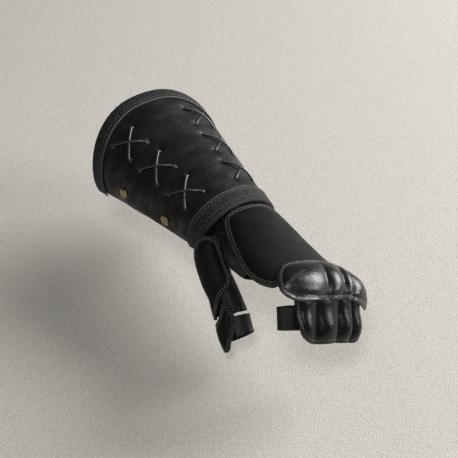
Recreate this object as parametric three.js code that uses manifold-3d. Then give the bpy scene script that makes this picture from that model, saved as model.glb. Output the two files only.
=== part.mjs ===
// A left-hand leather gauntlet, palm down: a flared cuff laced with crosses, a soft half glove,
// and padded plates over the back, knuckles, fingers and thumb. Millimetres, +Z up, forearm along Y.
import * as THREE from "three";
import { mergeVertices } from "three/addons/utils/BufferGeometryUtils.js";
import Module from "manifold-3d";

// Cuff: an open tapered wall of heavy leather.
const CUFF_LENGTH = 163; // wrist edge to the top of the mouth
const CUFF_WALL = 2.6;
const WRIST_HALF_WIDTH = 40;
const WRIST_HALF_HEIGHT = 30.4;
const MOUTH_HALF_WIDTH = 71;
const MOUTH_HALF_HEIGHT = 58;
const MOUTH_DROP = 19; // how much shorter the cuff is at its sides
const CUFF_WRAP = 111; // degrees from the top to each lower edge, at the wrist and the mouth
const WRAP_WAIST = 105; // and between them
const FIT_GAP = 0.3; // clearance between pieces that lie on each other
const CUFF_COLUMNS = 26;

// Bindings: leather strips folded over the two ends of the cuff.
const BINDING_THICKNESS = 1.3;
const RIM_BINDING_WIDTH = 12;
const WRIST_BINDING_WIDTH = 16;

// Lacing: crosses of round thong through four punched holes each, in two columns.
const LACE_RADIUS = 1.15;
const LACE_HOLE_RADIUS = 1.9;
const LACE_COLUMN = 38.8; // degrees from the top
const LACE_FIRST = 41; // wrist edge to the middle of the first cross
const LACE_PITCH = 40.5;
const LACE_ROWS = 3;
const LACE_LENGTH = 25; // along the cuff, hole to hole
const LACE_SPAN = 27; // around the cuff, hole to hole

// Straps under the arm, each held by a rivet at either end and closed by a plain buckle.
const STRAP_WIDTH = 17;
const STRAP_THICKNESS = 2.4;
const STRAP_FIRST = 46; // wrist edge to the middle of the first strap
const STRAP_PITCH = 56;
const STRAP_TIP = 76; // degrees from the top to each end of a strap
const RIVET_ANGLE = 88; // degrees from the top to each rivet
const RIVET_RADIUS = 5;
const RIVET_HEIGHT = 2;
const RIVET_SHANK_RADIUS = 1.6;
const RIVET_BACK_RADIUS = 3.4;
const RIVET_BACK_HEIGHT = 1.2;
const BUCKLE_WALL = 2.4;
const BUCKLE_TURN = 11; // degrees of the strap inside the buckle, each way from the bottom

// Half glove: soft leather over the back, palm and thumb, from inside the cuff to the knuckles.
const HAND_DEVIATION = 2; // degrees towards the thumb
const HAND_EXTENSION = 5.6; // degrees up from the forearm
const GLOVE_WALL = 1.6;
const SINK = 0.3; // so that its flat faces stay clear of the plates
const GLOVE_START = -13; // inside the cuff
const GLOVE_END = 104; // on the back, towards the knuckles
const GLOVE_PALM_END = 57;

const GLOVE_ROWS = [0.002, 0.029, 0.144, 0.269, 0.404, 0.538, 0.663, 0.788, 0.894]; // shares of GLOVE_END

// Sections of the hand: distance from the wrist edge as a share of KNUCKLE_AT, half sizes as shares of the two
// below, roll in degrees towards the little finger, and shift towards the thumb as a share of the half width.
const KNUCKLE_AT = 115; // wrist edge to where the fist starts to turn down
const HAND_HALF_WIDTH = 46.5;
const HAND_HALF_HEIGHT = 25.8;
const SECTIONS = [
  { at: -0.113, halfWidth: 0.766, halfHeight: 1, roll: 0, shift: 0 },
  { at: 0.026, halfWidth: 0.766, halfHeight: 1, roll: 0, shift: 0 },
  { at: 0.243, halfWidth: 0.796, halfHeight: 0.93, roll: 11, shift: 0.02 },
  { at: 0.487, halfWidth: 0.882, halfHeight: 0.833, roll: 20, shift: 0.065 },
  { at: 0.713, halfWidth: 0.946, halfHeight: 0.736, roll: 22.4, shift: 0.065 },
  { at: 0.922, halfWidth: 1, halfHeight: 0.62, roll: 22.4, shift: 0 },
  { at: 1.243, halfWidth: 0.968, halfHeight: 0.504, roll: 22.4, shift: -0.086 },
  { at: 1.565, halfWidth: 0.935, halfHeight: 0.465, roll: 22.4, shift: -0.086 },
];
const KNUCKLE_ARC = 26; // the length over which it turns
const KNUCKLE_RADIUS = 10; // of the middle line
const KNUCKLE_TURN = 63; // degrees
const KNUCKLE_DROP = 4; // how far the little finger lies below the others

// Thumb: its middle line in shares of its length, its radii in shares of the widest,
// and how much further it reaches on the palm's side.
const THUMB_LENGTH = 120;
const THUMB_RADIUS = 13;
const THUMB = [
  { x: -0.15, y: 0, z: 0.05, radius: 0.615, spread: 1 },
  { x: -0.292, y: -0.083, z: -0.017, radius: 1, spread: 1 },
  { x: -0.325, y: -0.225, z: -0.175, radius: 1, spread: 1 },
  { x: -0.325, y: -0.308, z: -0.258, radius: 0.962, spread: 1.1 },
  { x: -0.358, y: -0.425, z: -0.375, radius: 0.923, spread: 1.5 },
  { x: -0.392, y: -0.55, z: -0.492, radius: 0.885, spread: 1.6 },
  { x: -0.4, y: -0.667, z: -0.567, radius: 0.846, spread: 1.5 },
];
const THUMB_SLEEVE_END = 0.66;
const THUMB_FACING = { x: -0.7, y: -0.4, z: 0.59 }; // the side of the thumb its plates lie on

// Padded plates: leather over padding. Each outline runs along its plate in shares of the plate's length,
// and out to each side in degrees from the middle of the surface it lies on.
const PLATE_THICKNESS = 4;
const BACK_PLATE_START = 7;
const BACK_PLATE_END = 112;
const BACK_PLATE = [
  { share: 0, little: 56, thumb: 12 },
  { share: 0.015, little: 62, thumb: 24 },
  { share: 0.05, little: 68, thumb: 35 },
  { share: 0.12, little: 72, thumb: 45 },
  { share: 0.27, little: 76, thumb: 59 },
  { share: 0.56, little: 78, thumb: 79 },
  { share: 0.75, little: 76, thumb: 88 },
  { share: 0.87, little: 72, thumb: 86 },
  { share: 0.96, little: 68, thumb: 77 },
  { share: 1, little: 64, thumb: 70 },
];

// The plates over the fist are grooved between the fingers, at these degrees across the hand.
const GROOVES = [-33, -8.7, 21.7];
const GROOVE_DEPTH = 3.4;
const GROOVE_SPREAD = 12; // degrees to each side
const GROOVES_START = 114;
const GROOVES_FULL = 132;
const KNUCKLE_PLATE_START = 100;
const KNUCKLE_PLATE_END = 138;
const KNUCKLE_PLATE_SKIRT = 8; // how much longer it is at the little finger
const KNUCKLE_PLATE = [
  { share: 0, little: 60, thumb: 30 },
  { share: 0.04, little: 72, thumb: 38 },
  { share: 0.28, little: 84, thumb: 56 },
  { share: 0.55, little: 90, thumb: 68 },
  { share: 0.76, little: 92, thumb: 68 },
  { share: 0.93, little: 90, thumb: 57 },
  { share: 1, little: 84, thumb: 46 },
];
const FINGER_PLATE_START = 130;
const FINGER_PLATE_END = 174;
const FINGER_PLATE = [
  { share: 0, little: 56, thumb: 50 },
  { share: 0.5, little: 57, thumb: 49 },
  { share: 0.82, little: 56, thumb: 42 },
  { share: 0.93, little: 52, thumb: 33 },
  { share: 1, little: 46, thumb: 24 },
];
const FINGER_LOOP_START = 143;
const FINGER_LOOP_END = 162;
const FINGER_LOOP_FROM = 38; // degrees, under the plate's thumb side
const FINGER_LOOP_TO = 312;
const LOOP_THICKNESS = 2;

const THUMB_PLATE_START = 0.12;
const THUMB_PLATE_END = 0.68;
const THUMB_PLATE = [
  { share: 0, right: 24, left: 24 },
  { share: 0.05, right: 46, left: 50 },
  { share: 0.15, right: 60, left: 76 },
  { share: 0.39, right: 62, left: 84 },
  { share: 0.56, right: 48, left: 84 },
  { share: 0.68, right: 8, left: 84 },
  { share: 0.83, right: -16, left: 84 },
  { share: 1, right: -50, left: 80 },
];
const THUMB_TIP_PLATE_START = 0.57;
const THUMB_TIP_PLATE_END = 0.92;
const THUMB_TIP_PLATE = [
  { share: 0, right: 10, left: 2 },
  { share: 0.18, right: 22, left: 12 },
  { share: 0.34, right: 28, left: 34 },
  { share: 0.42, right: 26, left: 84 },
  { share: 0.7, right: 12, left: 84 },
  { share: 1, right: -23, left: 60 },
];
const THUMB_LOOP_START = 0.68;
const THUMB_LOOP_END = 0.84;
const THUMB_LOOP_FROM = 50; // degrees, under the plate's left side
const THUMB_LOOP_TO = 345;
const BEYOND = CUFF_LENGTH + KNUCKLE_AT; // longer than anything that a cut has to clear

const wasm = await Module();
wasm.setup();

const leather = new THREE.MeshStandardMaterial({ color: 0x1c1c1e, roughness: 0.42, metalness: 0 });
const bindingLeather = new THREE.MeshStandardMaterial({ color: 0x222223, roughness: 0.8, metalness: 0 });
const softLeather = new THREE.MeshStandardMaterial({ color: 0x161617, roughness: 0.7, metalness: 0 });
const laceLeather = new THREE.MeshStandardMaterial({ color: 0x2e2c2b, roughness: 0.5, metalness: 0 });
const brass = new THREE.MeshStandardMaterial({ color: 0xa8864a, roughness: 0.4, metalness: 1 });
const blackSteel = new THREE.MeshStandardMaterial({ color: 0x2a2a2c, roughness: 0.4, metalness: 1 });

const gauntlet = new THREE.Group();

const { degToRad, radToDeg, lerp, smoothstep, clamp } = THREE.MathUtils;

function add(name, geometry, material) {
  const mesh = new THREE.Mesh(geometry, material);
  mesh.name = name;
  gauntlet.add(mesh);
}

// Moves every vertex of a closed geometry by place(x, y, z) and merges the seams.
function bent(geometry, place) {
  const position = geometry.getAttribute("position");
  for (let i = 0; i < position.count; i++) {
    const p = place(position.getX(i), position.getY(i), position.getZ(i));
    position.setXYZ(i, p.x, p.y, p.z);
  }
  return plain(geometry);
}

function plain(geometry) {
  geometry.deleteAttribute("normal");
  geometry.deleteAttribute("uv");
  return mergeVertices(geometry, 1e-4);
}

// A sheet of leather: across and along run from 0 to 1, and depth from 0 inside to 1 outside.
function sheet(columns, rows, place) {
  return bent(new THREE.BoxGeometry(1, 1, 1, columns, rows, 1), (x, y, z) => place(x + 0.5, y + 0.5, z + 0.5));
}

// The local frame on a surface: x across, y along, z outwards.
function frameOn(surface, u, v, height) {
  const step = 1e-2;
  const across = surface(u + step, v).sub(surface(u - step, v)).normalize();
  const along = surface(u, v + step).sub(surface(u, v - step));
  const out = across.clone().cross(along).normalize();
  const place = surface(u, v).addScaledVector(out, height);
  return new THREE.Matrix4().makeBasis(across, out.clone().cross(across), out).setPosition(place);
}

const onSurface = (surface, u, v, height) =>
  new THREE.Vector3().setFromMatrixPosition(frameOn(surface, u, v, height));

function toSolid(geometry) {
  return new wasm.Manifold(
    new wasm.Mesh({
      numProp: 3,
      vertProperties: Float32Array.from(geometry.getAttribute("position").array),
      triVerts: Uint32Array.from(geometry.index.array),
    }),
  );
}

function toGeometry(solid) {
  const { numProp, vertProperties, triVerts, numVert } = solid.getMesh();
  const position = new Float32Array(numVert * 3);
  for (let i = 0; i < numVert; i++) {
    position.set(vertProperties.subarray(i * numProp, i * numProp + 3), i * 3);
  }
  return new THREE.BufferGeometry()
    .setAttribute("position", new THREE.BufferAttribute(position, 3))
    .setIndex(new THREE.BufferAttribute(Uint32Array.from(triVerts), 1));
}

// A named column of a table at a place between two of its rows.
function between(table, key, column, value) {
  let i = 0;
  while (i < table.length - 2 && table[i + 1][key] < value) {
    i++;
  }
  const share = clamp((value - table[i][key]) / (table[i + 1][key] - table[i][key]), 0, 1);
  return lerp(table[i][column], table[i + 1][column], share);
}

// The cuff's outer surface: degrees from the top towards the little finger, and y from the wrist.
function cuffSurface(degrees, y) {
  const share = y / CUFF_LENGTH;
  const a = degToRad(degrees);
  return new THREE.Vector3(
    Math.sin(a) * lerp(WRIST_HALF_WIDTH, MOUTH_HALF_WIDTH, share),
    y,
    Math.cos(a) * lerp(WRIST_HALF_HEIGHT, MOUTH_HALF_HEIGHT, share),
  );
}

function mouthAt(degrees) {
  return CUFF_LENGTH - MOUTH_DROP * smoothstep(Math.abs(degrees), 12, 95);
}

function wrapAt(share) {
  return CUFF_WRAP - 4 * share * (1 - share) * (CUFF_WRAP - WRAP_WAIST);
}

// Where a share of the cuff's length and of its wrap lies, and how high over its outer surface.
function onCuff(across, share, height, back = 0) {
  const degrees = (2 * across - 1) * wrapAt(share);
  return onSurface(cuffSurface, degrees, share * mouthAt(degrees) + back, height);
}

function lacePlaces() {
  return [-1, 1].flatMap((side) =>
    Array.from({ length: LACE_ROWS }, (_, row) => {
      const y = LACE_FIRST + row * LACE_PITCH;
      const radius = cuffSurface(90, y).x;
      return { side, row, y, degrees: side * LACE_COLUMN, turn: radToDeg(LACE_SPAN / 2 / radius) };
    }),
  );
}

const strapPlaces = [STRAP_FIRST, STRAP_FIRST + STRAP_PITCH];
const rivetPlaces = strapPlaces.flatMap((y) => [
  { y, degrees: -RIVET_ANGLE },
  { y, degrees: RIVET_ANGLE },
]);

function hole(degrees, y, radius, sides) {
  const length = 4 * (CUFF_WALL + STRAP_THICKNESS);
  const pin = new THREE.CylinderGeometry(radius, radius, length, sides).rotateX(Math.PI / 2);
  return toSolid(plain(pin.applyMatrix4(frameOn(cuffSurface, degrees, y, -CUFF_WALL))));
}

function makeCuff() {
  let wall = toSolid(sheet(CUFF_COLUMNS, 4, (across, along, depth) =>
    onCuff(across, along, (depth - 1) * CUFF_WALL)));
  for (const { y, degrees, turn } of lacePlaces()) {
    for (const [dx, dy] of [[-1, -1], [1, -1], [-1, 1], [1, 1]]) {
      wall = wall.subtract(hole(degrees + dx * turn, y + (dy * LACE_LENGTH) / 2, LACE_HOLE_RADIUS, 5));
    }
  }
  for (const { y, degrees } of rivetPlaces) {
    wall = wall.subtract(hole(degrees, y, RIVET_SHANK_RADIUS + FIT_GAP, 8));
  }
  add("cuff", toGeometry(wall), leather);
}

// A strip folded over one end of the cuff: its rows run down the outside, round the fold and up the inside.
function makeBinding(name, share, width, inwards) {
  const inside = -CUFF_WALL - FIT_GAP;
  const t = BINDING_THICKNESS;
  const fold = [
    { back: width, face: FIT_GAP, outer: FIT_GAP + t },
    { back: 0, face: FIT_GAP, outer: FIT_GAP + t },
    { back: -FIT_GAP, face: 0, outer: FIT_GAP + t * 0.6, bulge: 0.8 * t },
    { back: -FIT_GAP, face: -CUFF_WALL / 2, outer: -CUFF_WALL / 2, bulge: t },
    { back: -FIT_GAP, face: -CUFF_WALL, outer: inside - t * 0.6, bulge: 0.8 * t },
    { back: 0, face: inside, outer: inside - t },
    { back: width, face: inside, outer: inside - t },
  ];
  const strip = sheet(CUFF_COLUMNS, fold.length - 1, (across, along, depth) => {
    const index = Math.round(along * (fold.length - 1));
    const row = fold[inwards > 0 ? fold.length - 1 - index : index];
    const back = row.back - depth * (row.bulge ?? 0);
    return onCuff(across, share, lerp(row.face, row.outer, depth), back * inwards);
  });
  add(name, strip, bindingLeather);
}

// One thong from hole to hole, dipping into both; arch is how far it rises in the middle.
function thong(place, from, to, arch) {
  const run = LACE_RADIUS + FIT_GAP;
  const stops = [
    { share: -0.006, height: -CUFF_WALL },
    { share: -0.006, height: 0 },
    { share: 0.02, height: run + FIT_GAP / 3 },
    { share: 0.5, height: run + arch },
    { share: 0.98, height: run + FIT_GAP / 3 },
    { share: 1.006, height: 0 },
    { share: 1.006, height: -CUFF_WALL },
  ];
  const surface = (degrees, v) => {
    const stop = stops[Math.round(v)];
    return onSurface(
      cuffSurface,
      place.degrees + lerp(from[0], to[0], stop.share) * place.turn,
      place.y + (lerp(from[1], to[1], stop.share) * LACE_LENGTH) / 2,
      stop.height,
    );
  };
  return toSolid(cord(stops.map((_, i) => surface(0, i)), LACE_RADIUS, 5));
}

// A round cord through points, with its sides square to the path at each.
function cord(points, radius, sides) {
  const last = points.length - 1;
  return bent(new THREE.CylinderGeometry(1, 1, 1, sides, last), (x, y, z) => {
    const i = Math.round((y + 0.5) * last);
    const run = points[Math.min(i + 1, last)].clone().sub(points[Math.max(i - 1, 0)]).normalize();
    const out = points[Math.round(last / 2)].clone().setY(0).normalize();
    const side = run.clone().cross(out).normalize();
    const up = side.clone().cross(run);
    return points[i].clone().addScaledVector(side, x * radius).addScaledVector(up, z * radius);
  });
}

function makeLaces() {
  for (const place of lacePlaces()) {
    const under = thong(place, [-1, -1], [1, 1], 0);
    const over = thong(place, [1, -1], [-1, 1], LACE_RADIUS * 1.7);
    const side = place.side < 0 ? "thumb" : "little";
    add(`lace_cross_${side}_${place.row + 1}`, toGeometry(under.add(over)), laceLeather);
  }
}

function makeRivets() {
  const under = -CUFF_WALL - STRAP_THICKNESS - 3 * FIT_GAP;
  const profile = [
    [0, under - RIVET_BACK_HEIGHT],
    [RIVET_BACK_RADIUS, under - RIVET_BACK_HEIGHT * 0.8],
    [RIVET_BACK_RADIUS, under],
    [RIVET_SHANK_RADIUS, under],
    [RIVET_SHANK_RADIUS, FIT_GAP],
    [RIVET_RADIUS, FIT_GAP],
    [RIVET_RADIUS, FIT_GAP + RIVET_HEIGHT * 0.2],
    [RIVET_RADIUS * 0.7, FIT_GAP + RIVET_HEIGHT * 0.8],
    [0, FIT_GAP + RIVET_HEIGHT],
  ].map(([x, y]) => new THREE.Vector2(x, y));
  rivetPlaces.forEach(({ degrees, y }, i) => {
    const rivet = new THREE.LatheGeometry(profile, 9).rotateX(Math.PI / 2);
    add(`rivet_${i + 1}`, plain(rivet.applyMatrix4(frameOn(cuffSurface, degrees, y, 0))), brass);
  });
}

// Straps: from rivet to rivet round the underside, along the cuff's inside.
function makeStraps() {
  const top = -CUFF_WALL - FIT_GAP;
  const half = 180 - STRAP_TIP;
  strapPlaces.forEach((y, i) => {
    const along = (share) => y + (share - 0.5) * STRAP_WIDTH;
    let strap = toSolid(sheet(22, 1, (across, share, depth) => {
      const degrees = 180 + lerp(-half, half, across);
      return onSurface(cuffSurface, degrees, along(share), top - (1 - depth) * STRAP_THICKNESS);
    }));
    for (const degrees of [-RIVET_ANGLE, RIVET_ANGLE]) {
      strap = strap.subtract(hole(degrees, y, RIVET_SHANK_RADIUS + FIT_GAP, 8));
    }
    add(`under_strap_${i + 1}`, toGeometry(strap), leather);
    const sleeve = (turn, side, above) =>
      toSolid(sheet(6, 1, (across, share, depth) =>
        onSurface(
          cuffSurface,
          180 + lerp(-turn, turn, across),
          y + (share - 0.5) * (STRAP_WIDTH + 2 * side),
          lerp(top - STRAP_THICKNESS - above, top + above, depth),
        )));
    const ring = sleeve(BUCKLE_TURN, FIT_GAP + BUCKLE_WALL, FIT_GAP + BUCKLE_WALL).subtract(
      sleeve(BUCKLE_TURN * 1.2, FIT_GAP, FIT_GAP),
    );
    add(`buckle_${i + 1}`, toGeometry(ring), blackSteel);
  });
}

// The middle line of the hand: straight from the wrist, then turning down over the knuckles.
function handFrame(s) {
  const row = (column) => between(SECTIONS, "at", column, s / KNUCKLE_AT);
  const inCuff = s < 0;
  const turn = new THREE.Matrix4().makeRotationZ(degToRad(inCuff ? 0 : -HAND_DEVIATION));
  const tilt = degToRad(inCuff ? 0 : HAND_EXTENSION);
  const forward = new THREE.Vector3(0, -Math.cos(tilt), Math.sin(tilt)).applyMatrix4(turn);
  const level = new THREE.Vector3(-1, 0, 0).applyMatrix4(turn);
  const thumbwards = level.applyAxisAngle(forward, -degToRad(row("roll")));
  const up = thumbwards.clone().cross(forward);
  const bend = clamp((s - KNUCKLE_AT) / KNUCKLE_ARC, 0, 1) * degToRad(KNUCKLE_TURN);
  const out = up.clone().multiplyScalar(Math.cos(bend)).addScaledVector(forward, Math.sin(bend));
  const on = forward.clone().multiplyScalar(Math.cos(bend)).addScaledVector(up, -Math.sin(bend));
  const centre = forward
    .multiplyScalar(Math.min(s, KNUCKLE_AT))
    .addScaledVector(thumbwards, row("shift") * HAND_HALF_WIDTH)
    .addScaledVector(up, -KNUCKLE_RADIUS)
    .addScaledVector(out, KNUCKLE_RADIUS)
    .addScaledVector(on, Math.max(0, s - KNUCKLE_AT - KNUCKLE_ARC));
  return { centre, thumbwards, out, up };
}

// The hand's surface: degrees from the middle of its back towards the thumb, and distance from the wrist edge.
function handSurface(degrees, s) {
  const { centre, thumbwards, out, up } = handFrame(s);
  const a = degToRad(degrees);
  const share = s / KNUCKLE_AT;
  const little = clamp(-Math.sin(a), 0, 1) ** 2 * smoothstep(share, 0.35, 1);
  return centre
    .addScaledVector(thumbwards, Math.sin(a) * HAND_HALF_WIDTH * between(SECTIONS, "at", "halfWidth", share))
    .addScaledVector(out, Math.cos(a) * HAND_HALF_HEIGHT * between(SECTIONS, "at", "halfHeight", share))
    .addScaledVector(up, -KNUCKLE_DROP * little);
}

// The thumb's surface: degrees round it from the side its plates lie on, and the share of its length.
const thumbLine = new THREE.CatmullRomCurve3(
  THUMB.map(({ x, y, z }) => new THREE.Vector3(x, y, z).multiplyScalar(THUMB_LENGTH)),
);
const thumbRows = THUMB.map((row, i) => ({ ...row, share: i / (THUMB.length - 1) }));

function thumbSurface(degrees, share) {
  const tangent = thumbLine.getTangent(share);
  const facing = new THREE.Vector3(THUMB_FACING.x, THUMB_FACING.y, THUMB_FACING.z);
  const out = facing.addScaledVector(tangent, -facing.dot(tangent)).normalize();
  const side = tangent.clone().cross(out);
  const a = degToRad(degrees);
  const radius = THUMB_RADIUS * between(thumbRows, "share", "radius", share);
  const spread = Math.sin(a) < 0 ? between(thumbRows, "share", "spread", share) : 1;
  return thumbLine
    .getPoint(share)
    .addScaledVector(out, Math.cos(a) * radius)
    .addScaledVector(side, Math.sin(a) * radius * spread);
}

// A closed tube over a surface, with a ring of vertices at each station, at a height over it.
function tube(surface, sides, stations, height) {
  const last = stations.length - 1;
  return toSolid(
    bent(new THREE.CylinderGeometry(1, 1, 1, sides, last), (x, y, z) => {
      const v = stations[Math.round((y + 0.5) * last)];
      if (Math.hypot(x, z) < 0.5) {
        return onSurface(surface, 0, v, height).add(onSurface(surface, 180, v, height)).multiplyScalar(0.5);
      }
      return onSurface(surface, radToDeg(Math.atan2(x, z)), v, height);
    }),
  );
}

function block(place) {
  return toSolid(plain(new THREE.BoxGeometry(BEYOND, BEYOND, BEYOND).applyMatrix4(place)));
}

// Everything beyond a slope that runs from the knuckles on the back to the middle of the palm.
function beyondPalm() {
  const top = handSurface(0, GLOVE_END);
  const palm = handSurface(180, GLOVE_PALM_END);
  const slope = top.clone().sub(palm).normalize();
  const away = slope.clone().cross(handFrame(GLOVE_END).thumbwards).normalize();
  const centre = top.add(palm).multiplyScalar(0.5).addScaledVector(away, BEYOND / 2);
  return block(new THREE.Matrix4().makeBasis(slope.clone().cross(away), slope, away).setPosition(centre));
}

// Everything on the cuff's side of a plane just clear of its wrist edge.
function besideCuff(clear) {
  return block(new THREE.Matrix4().makeTranslation(0, BEYOND / 2 - clear, 0));
}

// The room the thumb plate takes in the side of the hand, with a margin all round.
function thumbPlateRoom(margin) {
  const degrees = radToDeg((margin + 2 * FIT_GAP) / THUMB_RADIUS);
  const grown = THUMB_PLATE.map((row) => ({
    share: row.share,
    right: row.right + degrees,
    left: row.left + degrees,
  }));
  const start = THUMB_PLATE_START - 0.02 - margin / THUMB_LENGTH;
  return toSolid(plate(
    thumbSurface, 8, [start, THUMB_PLATE_END + margin / THUMB_LENGTH], [grown, "right", "left"], -margin,
    { thickness: 4 * PLATE_THICKNESS + 2 * margin },
  ));
}

function makeGlove() {
  const edge = FIT_GAP * 2 + BINDING_THICKNESS;
  const rows = GLOVE_ROWS.map((share) => share * GLOVE_END);
  const hand = tube(handSurface, 18, [GLOVE_START, ...rows, GLOVE_END], -SINK);
  const handInside = tube(handSurface, 18, [GLOVE_START - 2, ...rows, GLOVE_END + 2], -SINK - GLOVE_WALL);
  const shares = [0.1, 0.167, 0.25, 0.333, 0.42, 0.5, 0.58];
  const thumb = tube(thumbSurface, 12, [0.02, ...shares, THUMB_SLEEVE_END], -SINK);
  const thumbInside = tube(thumbSurface, 12, [0.04, ...shares, THUMB_SLEEVE_END + 0.02], -SINK - GLOVE_WALL);
  const outside = hand.subtract(beyondPalm()).subtract(thumbPlateRoom(0)).add(thumb.subtract(besideCuff(edge)));
  const inside = handInside
    .subtract(thumbPlateRoom(GLOVE_WALL))
    .add(thumbInside.subtract(besideCuff(edge + GLOVE_WALL)));
  const bodies = outside.subtract(inside).decompose();
  bodies.sort((a, b) => b.volume() - a.volume());
  add("glove", toGeometry(bodies[0]), softLeather);
}

// The shares of a plate's length that get a row of vertices: its table's own, and more where the outline turns.
function rowsOf(outline, low, high) {
  return outline.flatMap((row, i) => {
    if (i === 0) {
      return [row.share];
    }
    const before = outline[i - 1];
    const turn = Math.max(Math.abs(row[low] - before[low]), Math.abs(row[high] - before[high]));
    const count = Math.ceil(Math.max(turn / 15, (row.share - before.share) / 0.16, 1));
    return Array.from({ length: count }, (_, k) => lerp(before.share, row.share, (k + 1) / count));
  });
}

// A plate on a surface. low and high name its table's columns for the lowest and the highest degrees.
function plate(surface, columns, [start, end], [outline, low, high], height, options = {}) {
  const { knots = () => [], swell = () => 0, skirt = 0, thickness = PLATE_THICKNESS } = options;
  const rows = rowsOf(outline, low, high);
  return sheet(columns, rows.length - 1, (across, along, depth) => {
    const share = rows[Math.round(along * (rows.length - 1))];
    const from = -between(outline, "share", low, share);
    const to = between(outline, "share", high, share);
    const stops = [from, ...knots(from, to), to];
    const stop = Math.min(Math.floor(across * (stops.length - 1) + 1e-6), stops.length - 2);
    const u = lerp(stops[stop], stops[stop + 1], across * (stops.length - 1) - stop);
    const v = lerp(start, end, share) + skirt * share * smoothstep(-u, 20, 75);
    return onSurface(surface, u, v, height + depth * thickness + swell(u, v));
  });
}

// How far the surface is pressed in between the fingers.
function groove(degrees, s) {
  const nearest = Math.min(...GROOVES.map((place) => Math.abs(degrees - place)));
  const press = Math.max(0, 1 - nearest / GROOVE_SPREAD) ** 2;
  return -GROOVE_DEPTH * press * smoothstep(s, GROOVES_START, GROOVES_FULL);
}

// Columns of vertices that follow the grooves on every plate over the fist.
function grooveKnots(from, to) {
  const [little, middle, index] = GROOVES;
  return [
    lerp(little, from, 0.3), little, lerp(little, middle, 0.5), middle,
    lerp(middle, index, 0.5), index, lerp(index, to, 0.3),
  ];
}

function makePlates() {
  const over = 2 * FIT_GAP + PLATE_THICKNESS;
  const fluted = { knots: grooveKnots, swell: groove };
  const back = [BACK_PLATE, "little", "thumb"];
  add("back_plate", plate(handSurface, 14, [BACK_PLATE_START, BACK_PLATE_END], back, FIT_GAP), leather);
  const knuckles = [KNUCKLE_PLATE, "little", "thumb"];
  add("knuckle_plate", plate(
    handSurface, 24, [KNUCKLE_PLATE_START, KNUCKLE_PLATE_END], knuckles, over,
    { ...fluted, skirt: KNUCKLE_PLATE_SKIRT },
  ), leather);
  const fingers = [FINGER_PLATE, "little", "thumb"];
  add("finger_plate", plate(
    handSurface, 24, [FINGER_PLATE_START, FINGER_PLATE_END], fingers, FIT_GAP, fluted,
  ), leather);
  const thumb = [THUMB_PLATE, "right", "left"];
  add("thumb_plate", plate(thumbSurface, 8, [THUMB_PLATE_START, THUMB_PLATE_END], thumb, FIT_GAP), leather);
  const tip = [THUMB_TIP_PLATE, "right", "left"];
  add("thumb_tip_plate", plate(
    thumbSurface, 7, [THUMB_TIP_PLATE_START, THUMB_TIP_PLATE_END], tip, FIT_GAP,
  ), leather);
}

// Straps round the fingers and the thumb, each with both ends under the edges of its plate.
function makeLoops() {
  const loop = (surface, columns, from, to, start, end) =>
    sheet(columns, 1, (across, along, depth) =>
      onSurface(surface, lerp(from, to, across), lerp(start, end, along), (depth - 1) * LOOP_THICKNESS));
  add("finger_loop", loop(
    handSurface, 26, FINGER_LOOP_FROM, FINGER_LOOP_TO, FINGER_LOOP_START, FINGER_LOOP_END,
  ), softLeather);
  add("thumb_loop", loop(
    thumbSurface, 20, THUMB_LOOP_FROM, THUMB_LOOP_TO, THUMB_LOOP_START, THUMB_LOOP_END,
  ), softLeather);
}

makeCuff();
makeBinding("cuff_rim_binding", 1, RIM_BINDING_WIDTH, -1);
makeBinding("wrist_binding", 0, WRIST_BINDING_WIDTH, 1);
makeLaces();
makeRivets();
makeStraps();
makeGlove();
makePlates();
makeLoops();

export default gauntlet;
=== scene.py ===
import math
import bmesh
import bpy
import numpy as np
from mathutils import Matrix, Quaternion, Vector, kdtree, noise


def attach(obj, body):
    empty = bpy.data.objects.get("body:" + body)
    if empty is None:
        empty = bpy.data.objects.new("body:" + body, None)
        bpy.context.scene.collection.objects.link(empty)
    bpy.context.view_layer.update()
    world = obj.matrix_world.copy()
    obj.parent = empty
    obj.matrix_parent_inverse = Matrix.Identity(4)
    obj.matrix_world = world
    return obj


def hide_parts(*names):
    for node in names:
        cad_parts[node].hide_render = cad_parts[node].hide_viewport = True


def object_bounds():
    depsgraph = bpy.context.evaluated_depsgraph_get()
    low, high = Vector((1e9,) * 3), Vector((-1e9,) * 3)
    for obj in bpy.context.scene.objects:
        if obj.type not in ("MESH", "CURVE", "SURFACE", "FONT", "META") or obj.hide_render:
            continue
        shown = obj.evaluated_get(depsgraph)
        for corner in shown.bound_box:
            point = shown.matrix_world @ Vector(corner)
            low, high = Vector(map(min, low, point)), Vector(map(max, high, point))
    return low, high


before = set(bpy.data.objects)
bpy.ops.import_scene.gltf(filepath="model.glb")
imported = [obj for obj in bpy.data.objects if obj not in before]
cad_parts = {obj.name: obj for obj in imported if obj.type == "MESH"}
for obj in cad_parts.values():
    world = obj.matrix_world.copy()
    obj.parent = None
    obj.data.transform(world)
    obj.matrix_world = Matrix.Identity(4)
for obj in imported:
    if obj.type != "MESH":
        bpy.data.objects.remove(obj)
cad_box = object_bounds()

MM = 0.001  # metres in a millimetre


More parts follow.
